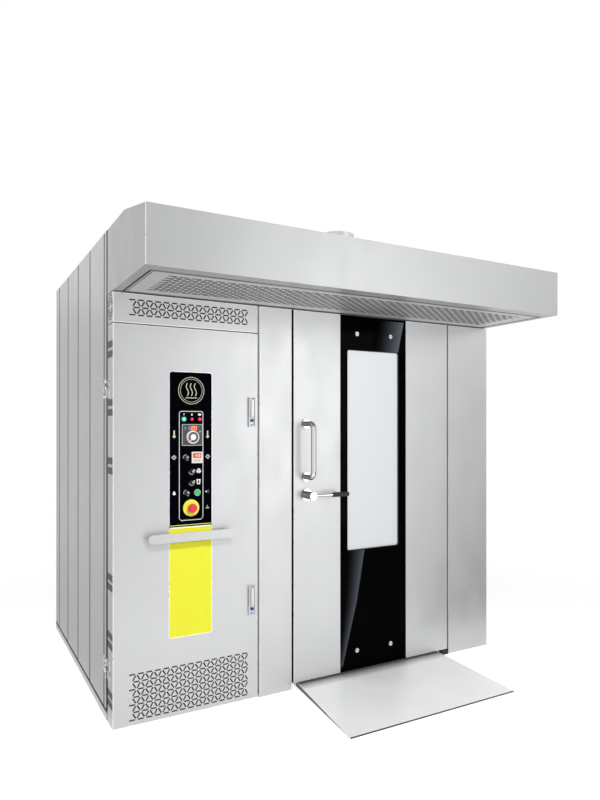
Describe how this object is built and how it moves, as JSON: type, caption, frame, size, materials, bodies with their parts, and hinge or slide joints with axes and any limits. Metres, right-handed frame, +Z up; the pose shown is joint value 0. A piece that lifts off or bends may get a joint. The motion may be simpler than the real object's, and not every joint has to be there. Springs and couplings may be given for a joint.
{
  "type": "combi steam oven",
  "caption": "Floor-standing hot-air rack oven with steam: control cabinet, glazed pivot door with lever latch, extraction hood, loading ramp, side heater and hanging rack carrier.",
  "frame": {"origin": "on the floor under the middle of the oven's outline, ramp included", "axes": "+X to the right seen from the front, +Y from the front to the rear, +Z up"},
  "size_m": [2.215, 2.152, 2.365],
  "materials": {
    "stainless": "brushed",
    "stainless_dark": "brushed",
    "polished_steel": "polished",
    "zinc_steel": "zinc plated",
    "frame_paint": "matt paint",
    "mineral_wool": "matt",
    "heat_steel": "heat tinted",
    "burner_paint": "satin paint",
    "motor_paint": "satin paint",
    "aluminium": "satin",
    "cast_iron": "rough",
    "seal_rubber": "matt",
    "black_glass": "gloss",
    "window_glass": "frosted",
    "lamp_glass": "frosted",
    "panel_black": "satin film",
    "strip_yellow": "satin film",
    "case_plastic": "satin",
    "dial_plastic": "satin",
    "grip_plastic": "knurled",
    "knob_plastic": "satin",
    "latch_metal": "satin",
    "button_blue": "gloss",
    "button_green": "gloss",
    "button_red": "gloss",
    "disc_yellow": "satin"
  },
  "bodies": {
    "housing": {"base_frame": "frame_paint", "floor_plate": "stainless", "wall_panels": "stainless", "roof_panels": "stainless", "insulation": "mineral_wool", "chamber_liner": "stainless", "duct_panel": "stainless", "front_columns": "stainless", "front_frame": "stainless", "door_seal": "seal_rubber", "door_pivots": "zinc_steel", "ramp": "stainless", "hood_shell": "stainless", "hood_filter": "stainless_dark", "exhaust_collar": "stainless", "control_cabinet": "stainless", "cabinet_back": "stainless", "flue_roof_panel": "stainless", "top_vent_panel": "stainless", "electrical_plate": "zinc_steel", "burner": "burner_paint", "heat_exchanger": "heat_steel", "roof_ducts": "stainless", "roof_motors": "motor_paint", "steam_generator": "cast_iron", "chamber_lamp": "lamp_glass", "fixed_hinge_leaves": "zinc_steel"},
    "oven_door_body": {"oven_door": "stainless", "door_side_panels": "stainless", "door_glass": "black_glass", "window_panes": "window_glass", "glass_screws": "polished_steel", "pull_handle": "polished_steel"},
    "lever": {"lever_handle": "polished_steel", "lever_grip": "grip_plastic"},
    "bolt": {"latch_bolt": "zinc_steel"},
    "cabinet_door": {"control_door": "stainless", "door_hinge_leaves": "zinc_steel", "control_panel": "panel_black", "colour_strip": "strip_yellow", "control_instruments": "case_plastic", "stop_disc": "disc_yellow", "rail_bar": "polished_steel", "latch_plates": "latch_metal"},
    "temperature_dial": {"temperature_dial": "dial_plastic"},
    "selector_1": {"selector_1": "knob_plastic"},
    "selector_2": {"selector_2": "knob_plastic"},
    "selector_3": {"selector_3": "knob_plastic"},
    "selector_4": {"selector_4": "knob_plastic"},
    "start_button": {"start_button": "button_green"},
    "stop_button": {"stop_button": "button_red"},
    "upper_latch_lever": {"upper_latch_lever": "latch_metal"},
    "lower_latch_lever": {"lower_latch_lever": "latch_metal"},
    "upper_latch_button": {"upper_latch_button": "button_blue"},
    "lower_latch_button": {"lower_latch_button": "button_blue"},
    "hood_fan": {"hood_fan": "aluminium"},
    "cooling_fan": {"cooling_fan": "case_plastic"},
    "damper": {"damper_blade": "zinc_steel"},
    "circulation_fan": {"circulation_fan": "stainless"},
    "rack_carrier": {"rack_carrier": "stainless"}
  },
  "joints": [
    {"name": "oven_door_swing", "type": "hinge", "parent": "housing", "child": "oven_door_body", "pos_m": [0.7685, -0.504, 0.961], "axis": [0, 0, 1], "range_deg": [0, 110]},
    {"name": "lever_turn", "type": "hinge", "parent": "oven_door_body", "child": "lever", "pos_m": [-0.1425, -0.544, 0.965], "axis": [0, 1, 0], "range_deg": [0, 60], "stiffness_Nm_per_rad": 2, "springref_deg": -34.38},
    {"name": "bolt_slide", "type": "slide", "parent": "oven_door_body", "child": "bolt", "axis": [1, 0, 0], "range_m": [0, 0.006]},
    {"name": "cabinet_door_swing", "type": "hinge", "parent": "housing", "child": "cabinet_door", "pos_m": [-1.108, -0.42, 0.882], "axis": [0, 0, -1], "range_deg": [0, 110]},
    {"name": "temperature_turn", "type": "hinge", "parent": "cabinet_door", "child": "temperature_dial", "pos_m": [-0.746, -0.536, 1.261], "axis": [0, 1, 0], "range_deg": [-150, 150]},
    {"name": "selector_1_turn", "type": "hinge", "parent": "cabinet_door", "child": "selector_1", "pos_m": [-0.774, -0.529, 1.167], "axis": [0, 1, 0], "range_deg": [0, 90]},
    {"name": "selector_2_turn", "type": "hinge", "parent": "cabinet_door", "child": "selector_2", "pos_m": [-0.746, -0.529, 1.104], "axis": [0, 1, 0], "range_deg": [0, 90]},
    {"name": "selector_3_turn", "type": "hinge", "parent": "cabinet_door", "child": "selector_3", "pos_m": [-0.746, -0.529, 1.054], "axis": [0, 1, 0], "range_deg": [0, 90]},
    {"name": "selector_4_turn", "type": "hinge", "parent": "cabinet_door", "child": "selector_4", "pos_m": [-0.771, -0.529, 1.007], "axis": [0, 1, 0], "range_deg": [0, 90]},
    {"name": "start_press", "type": "slide", "parent": "cabinet_door", "child": "start_button", "axis": [0, 1, 0], "range_m": [0, 0.004], "stiffness_N_per_m": 300, "springref_m": -0.003},
    {"name": "stop_press", "type": "slide", "parent": "cabinet_door", "child": "stop_button", "axis": [0, 1, 0], "range_m": [0, 0.005]},
    {"name": "upper_latch_lift", "type": "hinge", "parent": "cabinet_door", "child": "upper_latch_lever", "pos_m": [-0.4465, -0.532, 1.44], "axis": [-1, 0, 0], "range_deg": [0, 40]},
    {"name": "lower_latch_lift", "type": "hinge", "parent": "cabinet_door", "child": "lower_latch_lever", "pos_m": [-0.4465, -0.532, 0.539], "axis": [-1, 0, 0], "range_deg": [0, 40]},
    {"name": "upper_latch_press", "type": "slide", "parent": "cabinet_door", "child": "upper_latch_button", "axis": [0, 1, 0], "range_m": [0, 0.003], "stiffness_N_per_m": 200, "springref_m": -0.002},
    {"name": "lower_latch_press", "type": "slide", "parent": "cabinet_door", "child": "lower_latch_button", "axis": [0, 1, 0], "range_m": [0, 0.003], "stiffness_N_per_m": 200, "springref_m": -0.002},
    {"name": "hood_fan_spin", "type": "hinge", "parent": "housing", "child": "hood_fan", "pos_m": [0, -0.592, 2.2], "axis": [0, 0, 1], "continuous": true},
    {"name": "cooling_fan_spin", "type": "hinge", "parent": "housing", "child": "cooling_fan", "pos_m": [-1.084, -0.477, 1.8305], "axis": [1, 0, 0], "continuous": true},
    {"name": "damper_turn", "type": "hinge", "parent": "housing", "child": "damper", "pos_m": [0.7, 0.756, 2.207], "axis": [1, 0, 0], "range_deg": [0, 90]},
    {"name": "circulation_fan_spin", "type": "hinge", "parent": "housing", "child": "circulation_fan", "pos_m": [-0.66, 0.376, 1.87], "axis": [0, 0, 1], "continuous": true},
    {"name": "rack_turn", "type": "hinge", "parent": "housing", "child": "rack_carrier", "pos_m": [0.32, 0.266, 1.9], "axis": [0, 0, 1], "continuous": true}
  ],
  "couplings": [
    {"joint": "bolt_slide", "follows": "lever_turn", "m_per_rad": 0.0057}
  ]
}
